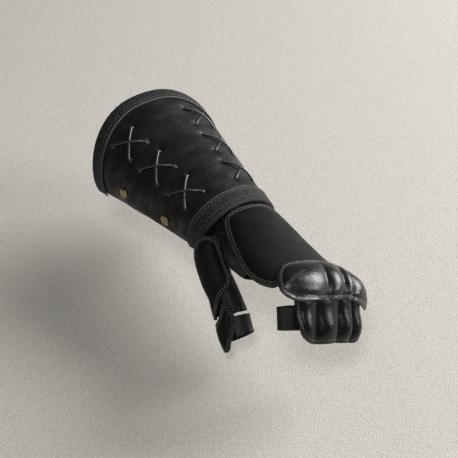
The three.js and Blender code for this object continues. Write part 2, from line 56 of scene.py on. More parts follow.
# The studio: a pale floor a little below the gauntlet, one large soft light from the right, a smaller one in
# front of it for the knuckles, a weak one from the camera's side, and the camera, raised and to the left.
FLOOR_DROP = 0.02  # from the lowest point down to the floor
FLOOR_SIZE = 6.0
FLOOR_COLOUR = "#d9d5cd"
FLOOR_CRACK = "#c2bdb4"
FLOOR_CRACKLE = 0.0021
CAMERA_AZIMUTH = -35.0
CAMERA_ELEVATION = 39.1
CAMERA_ROLL = 0.6
CAMERA_DISTANCE = 1.0
CAMERA_LENS = 86.46  # mm, on a 36 mm sensor
CAMERA_SHIFT = -0.0188
LIGHTS = [
    {"name": "window", "towards": (0.85, -0.06, 0.46), "size": 1.8, "watts": 96.0},
    {"name": "corner", "towards": (0.62, -0.64, 0.45), "size": 1.1, "watts": 32.0},
    {"name": "fill", "towards": (-0.5, -0.5, 1.0), "size": 0.7, "watts": 22.0},
]
LIGHT_DISTANCE = 2.8
STUDIO_GREY = 0.065


def linear(code):
    """A linear colour from an sRGB hex code."""
    shares = [int(code[i:i + 2], 16) / 255 for i in (1, 3, 5)]
    return [c / 12.92 if c <= 0.04045 else ((c + 0.055) / 1.055) ** 2.4 for c in shares] + [1.0]


def add_node(tree, kind, inputs=None, **settings):
    """Adds a node with its settings; each input is a value, or a socket to link."""
    made = tree.nodes.new(kind)
    for key, value in settings.items():
        setattr(made, key, value)
    for key, value in (inputs or {}).items():
        if isinstance(value, bpy.types.NodeSocket):
            tree.links.new(value, made.inputs[key])
        else:
            made.inputs[key].default_value = value
    return made


def new_material(name):
    """A material with its node tree and its shader."""
    material = bpy.data.materials.new(name)
    material.use_nodes = True
    return material, material.node_tree, material.node_tree.nodes["Principled BSDF"]


def remapped(tree, value, to_min, to_max, from_min=0.0, from_max=1.0):
    return add_node(tree, "ShaderNodeMapRange", {
        "Value": value, "From Min": from_min, "From Max": from_max,
        "To Min": to_min, "To Max": to_max}).outputs["Result"]


def blended(tree, factor, first, second):
    """Two sRGB hex colours, mixed by a factor."""
    return add_node(tree, "ShaderNodeMix", {
        "Factor": factor, "A": linear(first), "B": linear(second)}, data_type="RGBA").outputs["Result"]


def press_in(tree, shader, height, strength, distance):
    """Gives a shader the relief of a height."""
    bump = add_node(tree, "ShaderNodeBump", {"Height": height, "Strength": strength, "Distance": distance})
    tree.links.new(bump.outputs["Normal"], shader.inputs["Normal"])


def painted_floor():
    """Matt embossed paper: no gloss, and a fine crackle pressed into it."""
    material, tree, shader = new_material("embossed_paper")
    shader.inputs["Roughness"].default_value = 0.95
    shader.inputs["Specular IOR Level"].default_value = 0.1
    place = add_node(tree, "ShaderNodeTexCoord").outputs["Object"]
    crackle = add_node(tree, "ShaderNodeTexVoronoi", {"Vector": place, "Scale": 1 / FLOOR_CRACKLE},
                       feature="DISTANCE_TO_EDGE").outputs["Distance"]
    cracks = remapped(tree, crackle, 0.0, 1.0, 0.0, 0.2)
    tree.links.new(blended(tree, cracks, FLOOR_CRACK, FLOOR_COLOUR), shader.inputs["Base Color"])
    press_in(tree, shader, cracks, 0.5, 0.3 * MM)
    return material


def lay_floor():
    low = cad_box[0].z - FLOOR_DROP
    bm = bmesh.new()
    bmesh.ops.create_grid(bm, x_segments=1, y_segments=1, size=FLOOR_SIZE / 2)
    bmesh.ops.translate(bm, verts=bm.verts, vec=(0, 0, low))
    mesh = bpy.data.meshes.new("floor")
    bm.to_mesh(mesh)
    bm.free()
    mesh.materials.append(painted_floor())
    floor = bpy.data.objects.new("floor", mesh)
    bpy.context.scene.collection.objects.link(floor)


def light_studio():
    world = bpy.data.worlds.new("studio")
    world.use_nodes = True
    world.node_tree.nodes["Background"].inputs["Color"].default_value = (1, 1, 1, 1)
    world.node_tree.nodes["Background"].inputs["Strength"].default_value = STUDIO_GREY
    bpy.context.scene.world = world
    for row in LIGHTS:
        data = bpy.data.lights.new(row["name"], "AREA")
        data.shape = "DISK"
        data.size = row["size"]
        data.energy = row["watts"]
        lamp = bpy.data.objects.new(row["name"], data)
        towards = Vector(row["towards"]).normalized()
        lamp.location = towards * LIGHT_DISTANCE
        lamp.rotation_euler = towards.to_track_quat("Z", "Y").to_euler()
        bpy.context.scene.collection.objects.link(lamp)


def set_camera():
    azimuth = math.radians(CAMERA_AZIMUTH)
    elevation = math.radians(CAMERA_ELEVATION)
    back = Vector((
        math.sin(azimuth) * math.cos(elevation),
        -math.cos(azimuth) * math.cos(elevation),
        math.sin(elevation),
    ))
    data = bpy.data.cameras.new("camera")
    data.lens = CAMERA_LENS
    data.shift_x = CAMERA_SHIFT
    camera = bpy.data.objects.new("camera", data)
    camera.location = back * CAMERA_DISTANCE
    camera.rotation_mode = "QUATERNION"
    roll = Quaternion((0, 0, 1), math.radians(CAMERA_ROLL))
    camera.rotation_quaternion = (-back).to_track_quat("-Z", "Y") @ roll
    bpy.context.scene.collection.objects.link(camera)
    bpy.context.scene.camera = camera
    bpy.context.scene.view_settings.view_transform = "Standard"


lay_floor()
light_studio()
set_camera()


# The cuff: one wall of heavy black leather, cut as a fan and bent round the forearm, open underneath.
# It is waxed and rubbed smooth, with fine scratches round the arm, and drawn in a little at each lace hole.
CUFF_LENGTH = 0.163
CUFF_WALL = 0.0026
WRIST_HALF_WIDTH = 0.040
WRIST_HALF_HEIGHT = 0.0304
MOUTH_HALF_WIDTH = 0.071
MOUTH_HALF_HEIGHT = 0.058
MOUTH_DROP = 0.019
CUFF_WRAP = 111
WRAP_WAIST = 105
FIT_GAP = 0.0003
CUFF_CELLS = (120, 76)
LACE_RADIUS = 0.00115
LACE_COLUMN = 38.8
LACE_FIRST = 0.041
LACE_PITCH = 0.0405
LACE_ROWS = 3
LACE_LENGTH = 0.025
LACE_SPAN = 0.027
LACE_HOLE_RADIUS = 0.0014
PUCKER_DEPTH = 0.0009
PUCKER_REACH = 0.0045
SWELL_BETWEEN = 0.0007  # how far the leather stands up inside each cross
CUFF_BLACK = "#121213"
# lighter colour for dust, and on the cuff also for its patches of painted sheen
CUFF_DUST_AND_SHEEN = "#2c2c2e"


def eased(share, low, high):
    t = np.clip((share - low) / (high - low), 0, 1)
    return t * t * (3 - 2 * t)


def cuff_surface(degrees, y):
    share = y / CUFF_LENGTH
    a = np.radians(degrees)
    width = WRIST_HALF_WIDTH + (MOUTH_HALF_WIDTH - WRIST_HALF_WIDTH) * share
    height = WRIST_HALF_HEIGHT + (MOUTH_HALF_HEIGHT - WRIST_HALF_HEIGHT) * share
    return np.stack([np.sin(a) * width, y + 0 * a, np.cos(a) * height], -1)


def mouth_at(degrees):
    return CUFF_LENGTH - MOUTH_DROP * eased(np.abs(degrees), 12, 95)


def cuff_spot(across, along):
    """Degrees and distance from the wrist for shares of the cuff's wrap and length."""
    wrap = CUFF_WRAP - 4 * along * (1 - along) * (CUFF_WRAP - WRAP_WAIST)
    degrees = (2 * across - 1) * wrap
    return degrees, along * mouth_at(degrees)


def outwards(surface, u, v, step_u=1e-2, step_v=1e-5):
    across = surface(u + step_u, v) - surface(u - step_u, v)
    along = surface(u, v + step_v) - surface(u, v - step_v)
    out = np.cross(across, along)
    return out / np.linalg.norm(out, axis=-1, keepdims=True)


def raised(surface, u, v, height):
    """Points at a height over a surface."""
    return surface(u, v) + outwards(surface, u, v) * np.asarray(height)[..., None]


def lace_places():
    for side in (-1, 1):
        for row in range(LACE_ROWS):
            y = LACE_FIRST + row * LACE_PITCH
            width = WRIST_HALF_WIDTH + (MOUTH_HALF_WIDTH - WRIST_HALF_WIDTH) * y / CUFF_LENGTH
            yield {"side": side, "row": row, "y": y, "degrees": side * LACE_COLUMN,
                   "turn": math.degrees(LACE_SPAN / 2 / width)}


def lace_holes():
    for place in lace_places():
        for dx in (-1, 1):
            for dy in (-1, 1):
                yield place["degrees"] + dx * place["turn"], place["y"] + dy * LACE_LENGTH / 2


def cuff_relief(degrees, y):
    """How the leather draws in round each hole and stands up inside each cross."""
    radius = WRIST_HALF_WIDTH + (MOUTH_HALF_WIDTH - WRIST_HALF_WIDTH) * y / CUFF_LENGTH
    height = 0 * y
    for hole, at in lace_holes():
        away = np.hypot(np.radians(degrees - hole) * radius, y - at)
        height = height - PUCKER_DEPTH * np.exp(-((away / PUCKER_REACH) ** 2))
    for place in lace_places():
        away = np.hypot(np.radians(degrees - place["degrees"]) * radius, y - place["y"])
        height = height + SWELL_BETWEEN * np.exp(-((away / (LACE_SPAN * 0.42)) ** 2))
    return height


def put(verts, points):
    for vert, point in zip(verts, points):
        vert.co = point


def shares_of(verts):
    flat = np.array([v.co.xy for v in verts]) + 0.5
    return flat[:, 0], flat[:, 1]


def add_piece(name, bm, material, slot, *nodes):
    """Makes the object, hangs it on the root body, and hides the imported parts that it stands for. Its slot
    is not used.
    """
    mesh = bpy.data.meshes.new(name)
    bm.to_mesh(mesh)
    bm.free()
    mesh.shade_smooth()
    mesh.materials.append(material)
    made = bpy.data.objects.new(name, mesh)
    bpy.context.scene.collection.objects.link(made)
    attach(made, "root")
    if nodes:
        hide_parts(*nodes)
    return made


def add_modifier(made, kind, **settings):
    modifier = made.modifiers.new(kind.lower(), kind)
    for key, value in settings.items():
        setattr(modifier, key, value)
    return modifier


def tanned_leather(name, black, worn_and_lit, roughness, grain, depth, gloss=0.4, patches=0.07, dust_and_sheen=0.04):
    """Chrome-tanned cowhide: small grain cells and a soft uneven wax; its colour is lighter in random patches
    (dust, and on the cuff painted sheen) and along marked edges (part wear, part painted highlight).
    """
    material, tree, shader = new_material(name)
    shader.inputs["Specular IOR Level"].default_value = gloss
    place = add_node(tree, "ShaderNodeTexCoord").outputs["Object"]
    cells = add_node(tree, "ShaderNodeTexVoronoi", {"Vector": place, "Scale": 1 / grain},
                     feature="SMOOTH_F1").outputs["Distance"]
    creases = add_node(tree, "ShaderNodeTexNoise", {
        "Vector": place, "Scale": 0.28 / grain, "Detail": 6, "Roughness": 0.62}).outputs["Fac"]
    wax = add_node(tree, "ShaderNodeTexNoise", {
        "Vector": place, "Scale": 62, "Detail": 5, "Roughness": 0.62}).outputs["Fac"]
    wear_and_highlight = add_node(tree, "ShaderNodeAttribute", attribute_name="wear_and_highlight").outputs["Fac"]
    # random lighter patches: dust, and on the cuff, where their share is large, painted sheen
    dust_and_sheen_tone = remapped(tree, wax, 0.0, dust_and_sheen, 0.38, 0.72)
    scuffs = remapped(tree, creases, 0.15, 1.25, 0.3, 0.7)
    # edges that a piece marks lighter: part wear, part painted highlight on rolls and beads
    edges = add_node(tree, "ShaderNodeMath", {0: wear_and_highlight, 1: scuffs}, operation="MULTIPLY").outputs[0]
    wear_and_sheen = add_node(tree, "ShaderNodeMath", {0: dust_and_sheen_tone, 1: edges}, operation="ADD", use_clamp=True).outputs[0]
    tree.links.new(blended(tree, wear_and_sheen, black, worn_and_lit), shader.inputs["Base Color"])
    uneven = remapped(tree, wax, roughness + patches, roughness - patches, 0.33, 0.67)
    tree.links.new(uneven, shader.inputs["Roughness"])
    fine = add_node(tree, "ShaderNodeBump", {
        "Height": cells, "Strength": 0.8, "Distance": depth * 1.6})
    coarse = add_node(tree, "ShaderNodeBump", {
        "Height": creases, "Strength": 0.8, "Distance": depth * 3.6, "Normal": fine.outputs["Normal"]})
    tree.links.new(coarse.outputs["Normal"], shader.inputs["Normal"])
    return material


def cuff_leather():
    """The cuff's leather, with fine scratches that run round the arm, on its own UV map."""
    # the cuff's large share of lighter patches (0.3) is painted sheen, standing in for its patchy shine
    material = tanned_leather("waxed_cuff_leather", CUFF_BLACK, CUFF_DUST_AND_SHEEN, 0.47, 0.9 * MM, 0.10 * MM,
                              gloss=0.36, patches=0.14, dust_and_sheen=0.3)
    tree = material.node_tree
    shader = tree.nodes["Principled BSDF"]
    place = add_node(tree, "ShaderNodeUVMap", uv_map="leather").outputs["UV"]
    drawn = add_node(tree, "ShaderNodeMapping", {"Vector": place, "Scale": (45, 520, 1)}).outputs["Vector"]
    scratches = add_node(tree, "ShaderNodeTexNoise", {
        "Vector": drawn, "Scale": 1.0, "Detail": 6, "Roughness": 0.75}).outputs["Fac"]
    old = shader.inputs["Normal"].links[0].from_socket
    bump = add_node(tree, "ShaderNodeBump", {
        "Height": scratches, "Strength": 0.5, "Distance": 0.25 * MM, "Normal": old})
    tree.links.new(bump.outputs["Normal"], shader.inputs["Normal"])
    old = shader.inputs["Roughness"].links[0].from_socket
    streak = remapped(tree, scratches, 0.08, -0.14, 0.4, 0.7)
    total = add_node(tree, "ShaderNodeMath", {0: old, 1: streak}, operation="ADD").outputs[0]
    tree.links.new(total, shader.inputs["Roughness"])
    spread = add_node(tree, "ShaderNodeMapping", {"Vector": place, "Scale": (28, 60, 1)}).outputs["Vector"]
    clouds = add_node(tree, "ShaderNodeTexNoise", {
        "Vector": spread, "Scale": 1.0, "Detail": 3}).outputs["Fac"]
    cloudy = remapped(tree, clouds, 0.0, 1.0, 0.42, 0.66)
    drag = remapped(tree, scratches, 0.0, 0.8, 0.42, 0.62)
    brushed = add_node(tree, "ShaderNodeMath", {0: cloudy, 1: drag}, operation="MULTIPLY").outputs[0]
    tree.links.new(remapped(tree, brushed, 0.24, 1.3), shader.inputs["Specular IOR Level"])
    return material


def make_cuff():
    columns, rows = CUFF_CELLS
    bm = bmesh.new()
    bmesh.ops.create_grid(bm, x_segments=columns, y_segments=rows, size=0.5)
    across, along = shares_of(bm.verts)
    degrees, y = cuff_spot(across, along)
    radius = WRIST_HALF_WIDTH + (MOUTH_HALF_WIDTH - WRIST_HALF_WIDTH) * y / CUFF_LENGTH
    column = np.rint(across * columns)
    row = np.rint(along * rows)
    middles = []
    for hole, at in lace_holes():
        middle = int(np.argmin(np.hypot(np.radians(degrees - hole) * radius, y - at)))
        middles.append(bm.verts[:][middle])
        ring = np.flatnonzero(
            (np.abs(column - column[middle]) <= 1) & (np.abs(row - row[middle]) <= 1))
        for i in ring:
            turn = math.atan2(row[i] - row[middle], column[i] - column[middle])
            reach = LACE_HOLE_RADIUS if i != middle else 0
            degrees[i] = hole + math.degrees(math.cos(turn) * reach / radius[middle])
            y[i] = at + math.sin(turn) * reach
    points = raised(cuff_surface, degrees, y, cuff_relief(degrees, y))
    uv = bm.loops.layers.uv.new("leather")
    bm.verts.index_update()
    put(bm.verts, points)
    for face in bm.faces:
        for loop in face.loops:
            i = loop.vert.index
            loop[uv].uv = (math.radians(degrees[i]) * 0.055, y[i])
    bmesh.ops.delete(bm, geom=middles, context="VERTS")
    cuff = add_piece("cuff_leather", bm, cuff_leather(), "armour_leather", "cuff")
    add_modifier(cuff, "SOLIDIFY", thickness=CUFF_WALL, offset=-1, use_even_offset=True)
    add_modifier(cuff, "SUBSURF", levels=1, render_levels=1)


make_cuff()


# The bindings: a strip of rough leather, flesh side out, folded over the mouth and the wrist edge of the
# cuff. Each is stitched through, and its turned inner edge stands up as a thin bead with a painted highlight.
BINDING_THICKNESS = 0.0013
RIM_BINDING_WIDTH = 0.012
WRIST_BINDING_WIDTH = 0.016
BINDING_BLACK = "#151516"
# pale flecks of the nap, and the bead's painted highlight
BINDING_FLECK_AND_HIGHLIGHT = "#4a4a4b"
THREAD_GREY = "#656461"
THREAD_RADIUS = 0.00035


def rough_leather():
    """Split leather with its flesh side out: short raised fibres, no gloss, pale flecks."""
    material, tree, shader = new_material("flesh_side_leather")
    place = add_node(tree, "ShaderNodeTexCoord").outputs["Object"]
    nap = add_node(tree, "ShaderNodeTexNoise", {
        "Vector": place, "Scale": 1 / (2.2 * MM), "Detail": 7, "Roughness": 0.75}).outputs["Fac"]
    wear_and_highlight = add_node(tree, "ShaderNodeAttribute", attribute_name="wear_and_highlight").outputs["Fac"]
    fleck = remapped(tree, nap, 0.0, 0.7, 0.5, 0.64)
    # the bead's lighter top is a painted highlight, part wear
    wear_and_sheen = add_node(tree, "ShaderNodeMath", {0: fleck, 1: wear_and_highlight}, operation="ADD", use_clamp=True).outputs[0]
    tree.links.new(blended(tree, wear_and_sheen, BINDING_BLACK, BINDING_FLECK_AND_HIGHLIGHT), shader.inputs["Base Color"])
    shader.inputs["Roughness"].default_value = 0.6
    shader.inputs["Specular IOR Level"].default_value = 0.35
    press_in(tree, shader, nap, 1.0, 1.1 * MM)
    return material


def set_wear_and_highlight(mesh_object, values):
    """Stores where a piece is painted lighter, from 0 to 1 at each corner: part wear, part painted highlight
    along its edges.
    """
    attribute = mesh_object.data.attributes.new("wear_and_highlight", "FLOAT", "POINT")
    attribute.data.foreach_set("value", np.asarray(values, np.float32))


def waxed_thread():
    """Waxed linen thread: a fine twist, dull."""
    material, tree, shader = new_material("waxed_linen_thread")
    shader.inputs["Base Color"].default_value = linear(THREAD_GREY)
    shader.inputs["Roughness"].default_value = 0.6
    place = add_node(tree, "ShaderNodeTexCoord").outputs["Object"]
    twist = add_node(tree, "ShaderNodeTexNoise", {"Vector": place, "Scale": 1 / (0.4 * MM)}).outputs["Fac"]
    press_in(tree, shader, twist, 0.5, 0.1 * MM)
    return material


thread = waxed_thread()


def sew(name, lines, pitch, length, radius=THREAD_RADIUS, slants=None):
    """Rows of stitches along lines of points, each stitch a short thread sunk at both ends.

    slants give, for each line, the sideways half length of its stitches at each point."""
    bm = bmesh.new()
    for row, line in enumerate(lines):
        slant = slants[row] if slants else 0 * line
        steps = np.linalg.norm(np.diff(line, axis=0), axis=1)
        run = np.concatenate([[0], np.cumsum(steps)])
        count = max(1, int(run[-1] / pitch))
        for k in range(count):
            middle = (k + 0.5) * run[-1] / count
            ends = [np.array([np.interp(middle + d * length / 2, run, path) for path in (line + d * slant).T])
                    for d in (-1, 1)]
            along = Vector(ends[1] - ends[0])
            if along.length < length * 0.5:
                continue
            turn = along.to_track_quat("Z", "Y").to_matrix().to_4x4()
            size = Matrix.Diagonal((radius, radius, along.length / 2 + radius * 0.6, 1))
            at = Matrix.Translation(Vector((ends[0] + ends[1]) / 2))
            bmesh.ops.create_uvsphere(bm, u_segments=8, v_segments=5, radius=1, matrix=at @ turn @ size)
    return add_piece(name, bm, thread, "thread")


def make_binding(name, node, share, width, inwards, stitch_rows):
    """inwards is 1 where the strip runs from the wrist edge up the cuff, and -1 from the mouth down."""
    middle = FIT_GAP + BINDING_THICKNESS / 2
    fold = middle + CUFF_WALL / 2
    bead = 0.35 * MM
    profile = [(width + 0.2 * MM, middle - 0.5 * MM), (width + 0.1 * MM, middle),
               (width - 0.3 * MM, middle + bead), (width - 0.9 * MM, middle + bead),
               (width - 1.5 * MM, middle)]
    profile += [(width * t, middle) for t in np.linspace(0.84, 0.06, 9)]
    profile += [(-fold * math.sin(a), -CUFF_WALL / 2 + fold * math.cos(a))
                for a in np.linspace(0, math.pi, 11)]
    profile += [(width * t, -CUFF_WALL - middle) for t in np.linspace(0.12, 1.0, 6)]
    profile = np.array(profile if inwards < 0 else profile[::-1])
    columns, rows = 150, len(profile) - 1
    bm = bmesh.new()
    bmesh.ops.create_grid(bm, x_segments=columns, y_segments=rows, size=0.5)
    across, along = shares_of(bm.verts)
    index = np.rint(along * rows).astype(int)
    degrees, y = cuff_spot(across, np.full_like(across, share))
    y = y + profile[index, 0] * inwards
    wobble = np.array([noise.noise((d * 0.21, share * 9, 0.3)) for d in degrees]) * 0.3 * MM
    height = profile[index, 1] + np.where(profile[index, 1] > 0, cuff_relief(degrees, y), 0)
    y = y + np.where(profile[index, 0] > width * 0.9, wobble, 0)
    put(bm.verts, raised(cuff_surface, degrees, y, height))
    # the bead's top is painted lighter: a painted highlight of its edge, part wear
    wear_and_highlight = np.where((profile[index, 0] > width - 1.2 * MM) & (profile[index, 1] > 0), 0.85, 0.0)
    made = add_piece(name, bm, flesh_side, "binding_leather", node)
    set_wear_and_highlight(made, wear_and_highlight)
    add_modifier(made, "SOLIDIFY", thickness=BINDING_THICKNESS, offset=0)
    add_modifier(made, "SUBSURF", levels=1, render_levels=1)
    top = FIT_GAP + BINDING_THICKNESS
    lines = []
    for back in stitch_rows:
        across = np.linspace(0.02, 0.98, 240)
        degrees, y = cuff_spot(across, np.full_like(across, share))
        y = y + back * inwards
        lines.append(raised(cuff_surface, degrees, y, top + cuff_relief(degrees, y)))
    sew(name + "_stitches", lines, 4.0 * MM, 1.7 * MM)


flesh_side = rough_leather()
make_binding("rim_binding_leather", "cuff_rim_binding", 1, RIM_BINDING_WIDTH, -1, [8.2 * MM])
make_binding("wrist_binding_leather", "wrist_binding", 0, WRIST_BINDING_WIDTH, 1, [3.4 * MM, 12.4 * MM])


# The lacing: round leather thong, one length for each arm of a cross, pulled out of one punched hole,
# over the leather and down the hole opposite. Its rolled surface is smooth and catches the light.
LACE_GREY = "#39393a"
LACE_WORN = "#7c7b79"


def make_laces(material):
    for place in lace_places():
        curve = bpy.data.curves.new("thong", "CURVE")
        curve.dimensions = "3D"
        curve.bevel_depth = LACE_RADIUS
        curve.bevel_resolution = 3
        curve.use_fill_caps = True
        for start, end, arch in (((-1, -1), (1, 1), 0.0), ((1, -1), (-1, 1), LACE_RADIUS * 1.7)):
            shares = np.array([0, 0, 0.0, 0.015, 0.06, 0.2, 0.5, 0.8, 0.94, 0.985, 1, 1, 1])
            lift = LACE_RADIUS + 0.1 * MM
            heights = np.array([-CUFF_WALL - 0.6 * MM, -CUFF_WALL / 2, -0.3 * MM, 0.7 * lift, lift,
                                lift + arch * 0.55, lift + arch])
            heights = np.concatenate([heights, heights[-2::-1]])
            degrees = place["degrees"] + (start[0] + (end[0] - start[0]) * shares) * place["turn"]
            y = place["y"] + (start[1] + (end[1] - start[1]) * shares) * LACE_LENGTH / 2
            points = raised(cuff_surface, degrees, y, heights + cuff_relief(degrees, y))
            spline = curve.splines.new("NURBS")
            spline.points.add(len(points) - 1)
            for target, point in zip(spline.points, points):
                target.co = (*point, 1)
            spline.use_endpoint_u = True
            spline.order_u = 4
            spline.resolution_u = 5
        holder = bpy.data.objects.new("thong", curve)
        bpy.context.scene.collection.objects.link(holder)
        mesh = bpy.data.meshes.new_from_object(holder.evaluated_get(bpy.context.evaluated_depsgraph_get()))
        bpy.data.objects.remove(holder)
        bm = bmesh.new()
        bm.from_mesh(mesh)
        bpy.data.meshes.remove(mesh)
        bmesh.ops.remove_doubles(bm, verts=bm.verts, dist=1e-6)
        side = "thumb" if place["side"] < 0 else "little"
        node = f"lace_cross_{side}_{place['row'] + 1}"
        add_piece(f"thong_{side}_{place['row'] + 1}", bm, material, "lace_leather", node)


make_laces(tanned_leather("rolled_thong", LACE_GREY, LACE_WORN, 0.3, 1.4 * MM, 0.08 * MM, 0.8))


# The rivets: domed brass caps on a shank that goes through the cuff and the strap, spread flat at the back.
# The brass is tarnished, and dulled by handling.
STRAP_FIRST = 0.046
STRAP_PITCH = 0.056
RIVET_ANGLE = 88
RIVET_RADIUS = 0.005
RIVET_BACK_RADIUS = 0.0034
RIVET_SHANK_RADIUS = 0.0016
STRAP_THICKNESS = 0.0024


def dull_brass():
    """Pressed brass, tarnished: metallic, with darker blooms and fine handling marks."""
    material, tree, shader = new_material("tarnished_brass")
    place = add_node(tree, "ShaderNodeTexCoord").outputs["Object"]
    bloom = add_node(tree, "ShaderNodeTexNoise", {
        "Vector": place, "Scale": 1 / (2.4 * MM), "Detail": 4}).outputs["Fac"]
    ramp = add_node(tree, "ShaderNodeValToRGB", {"Fac": bloom})
    ramp.color_ramp.elements[0].position = 0.3
    ramp.color_ramp.elements[0].color = linear("#75664a")
    ramp.color_ramp.elements[1].position = 0.62
    ramp.color_ramp.elements[1].color = linear("#c8b48a")
    tree.links.new(ramp.outputs["Color"], shader.inputs["Base Color"])
    shader.inputs["Metallic"].default_value = 1
    shader.inputs["Roughness"].default_value = 0.36
    press_in(tree, shader, bloom, 0.4, 0.1 * MM)
    return material


def make_rivets(material):
    under = -CUFF_WALL - FIT_GAP - STRAP_THICKNESS - FIT_GAP - 0.2 * MM
    cap = [(math.sin(a) * RIVET_RADIUS, FIT_GAP + 0.5 * MM + math.cos(a) * 1.5 * MM)
           for a in np.linspace(0.25, math.pi / 2, 9)]
    profile = [(0, FIT_GAP + 1.62 * MM), (0.5 * MM, FIT_GAP + 1.66 * MM), (0.9 * MM, FIT_GAP + 1.85 * MM)]
    profile += cap
    profile += [(RIVET_RADIUS * 0.97, FIT_GAP), (RIVET_SHANK_RADIUS, FIT_GAP), (RIVET_SHANK_RADIUS, under),
                (RIVET_BACK_RADIUS, under), (RIVET_BACK_RADIUS, under - 0.8 * MM),
                (RIVET_BACK_RADIUS * 0.8, under - 1.1 * MM), (0, under - 1.2 * MM)]
    number = 0
    for y in (STRAP_FIRST, STRAP_FIRST + STRAP_PITCH):
        for degrees in (-RIVET_ANGLE, RIVET_ANGLE):
            number += 1
            bm = bmesh.new()
            verts = [bm.verts.new((x, 0, z)) for x, z in profile]
            edges = [bm.edges.new(pair) for pair in zip(verts, verts[1:])]
            bmesh.ops.spin(bm, geom=verts + edges, axis=(0, 0, 1), cent=(0, 0, 0), angle=math.tau,
                           steps=32, use_merge=True)
            bmesh.ops.remove_doubles(bm, verts=bm.verts, dist=1e-6)
            bmesh.ops.recalc_face_normals(bm, faces=bm.faces)
            out = outwards(cuff_surface, np.array([degrees]), np.array([y]))[0]
            turn = Vector(out).to_track_quat("Z", "Y").to_matrix().to_4x4()
            at = Matrix.Translation(Vector(cuff_surface(np.array([degrees]), np.array([y]))[0]))
            bmesh.ops.transform(bm, matrix=at @ turn, verts=bm.verts)
            made = add_piece(f"brass_rivet_{number}", bm, material, "brass", f"rivet_{number}")
            made.data.set_sharp_from_angle(angle=math.radians(50))


make_rivets(dull_brass())


# The straps: plain belts of the cuff's leather along its inside, from rivet to rivet, with a row of stitches
# near each edge. A plain ring of black steel closes each.
STRAP_WIDTH = 0.017
STRAP_TIP = 76
BUCKLE_WALL = 0.0024
BUCKLE_TURN = 11
BUCKLE_BLACK = "#1c1c1e"


def black_steel():
    """Blackened steel: satin, with fine rubbed marks."""
    material, tree, shader = new_material("blackened_steel")
    shader.inputs["Base Color"].default_value = linear(BUCKLE_BLACK)
    shader.inputs["Metallic"].default_value = 1
    place = add_node(tree, "ShaderNodeTexCoord").outputs["Object"]
    marks = add_node(tree, "ShaderNodeTexNoise", {
        "Vector": place, "Scale": 1 / (1.5 * MM), "Detail": 5}).outputs["Fac"]
    tree.links.new(remapped(tree, marks, 0.3, 0.55), shader.inputs["Roughness"])
    press_in(tree, shader, marks, 0.2, 0.1 * MM)
    return material


def closed_band(bm, columns, rows, under, over):
    """Two facing grids joined round their edges; under and over give the corners of each for their shares."""
    for place, turned in ((under, True), (over, False)):
        verts = bmesh.ops.create_grid(bm, x_segments=columns, y_segments=rows, size=0.5)["verts"]
        put(verts, place(*shares_of(verts)))
        if turned:
            bmesh.ops.reverse_faces(bm, faces=list({f for v in verts for f in v.link_faces}))
    bmesh.ops.bridge_loops(bm, edges=[e for e in bm.edges if e.is_boundary])


def make_straps(strap_leather, steel):
    top = -CUFF_WALL - FIT_GAP
    half = 180 - STRAP_TIP
    for number, y in enumerate((STRAP_FIRST, STRAP_FIRST + STRAP_PITCH), 1):
        def run(height):
            return lambda across, along: raised(
                cuff_surface, 180 + (2 * across - 1) * half, y + (along - 0.5) * STRAP_WIDTH,
                height + 0 * across)
        bm = bmesh.new()
        closed_band(bm, 120, 10, run(top - STRAP_THICKNESS), run(top))
        strap = add_piece(
            f"belt_under_{number}", bm, strap_leather, "armour_leather", f"under_strap_{number}")
        add_modifier(strap, "BEVEL", width=0.5 * MM, segments=2, limit_method="ANGLE")
        t = np.linspace(0, 1, 200)
        edges = [raised(cuff_surface, 180 + (2 * t - 1) * (half - 12),
                        np.full_like(t, y + side * STRAP_WIDTH * 0.36),
                        np.full_like(t, top - STRAP_THICKNESS))
                 for side in (-1, 1)]
        sew(f"belt_under_{number}_stitches", edges, 4.0 * MM, 2.4 * MM)
        bm = bmesh.new()
        wide = STRAP_WIDTH + 2 * (FIT_GAP + BUCKLE_WALL)
        middle = top - STRAP_THICKNESS / 2
        reach = STRAP_THICKNESS / 2 + FIT_GAP + BUCKLE_WALL / 2
        bars = [(-wide / 2 + BUCKLE_WALL / 2, -reach), (wide / 2 - BUCKLE_WALL / 2, -reach),
                (wide / 2 - BUCKLE_WALL / 2, reach), (-wide / 2 + BUCKLE_WALL / 2, reach)]
        corners = []
        for (y0, h0), (y1, h1) in zip(bars, bars[1:] + bars[:1]):
            corners += [(y0 + (y1 - y0) * t, h0 + (h1 - h0) * t) for t in np.linspace(0, 1, 9)[:-1]]
        corners = np.array(corners + corners[:1])
        bmesh.ops.create_grid(bm, x_segments=len(corners) - 1, y_segments=12, size=0.5)
        across, along = shares_of(bm.verts)
        spot = corners[np.rint(across * (len(corners) - 1)).astype(int)]
        degrees = 180 + (2 * along - 1) * BUCKLE_TURN
        put(bm.verts, raised(cuff_surface, degrees, y + spot[:, 0], middle + spot[:, 1]))
        bmesh.ops.remove_doubles(bm, verts=bm.verts, dist=1e-6)
        bmesh.ops.recalc_face_normals(bm, faces=bm.faces)
        buckle = add_piece(f"steel_buckle_{number}", bm, steel, "black_steel", f"buckle_{number}")
        add_modifier(buckle, "SOLIDIFY", thickness=BUCKLE_WALL, offset=0, use_even_offset=True)
        add_modifier(buckle, "BEVEL", width=0.4 * MM, segments=2, limit_method="ANGLE")


make_straps(tanned_leather("belt_leather", CUFF_BLACK, CUFF_DUST_AND_SHEEN, 0.5, 0.9 * MM, 0.1 * MM), black_steel())


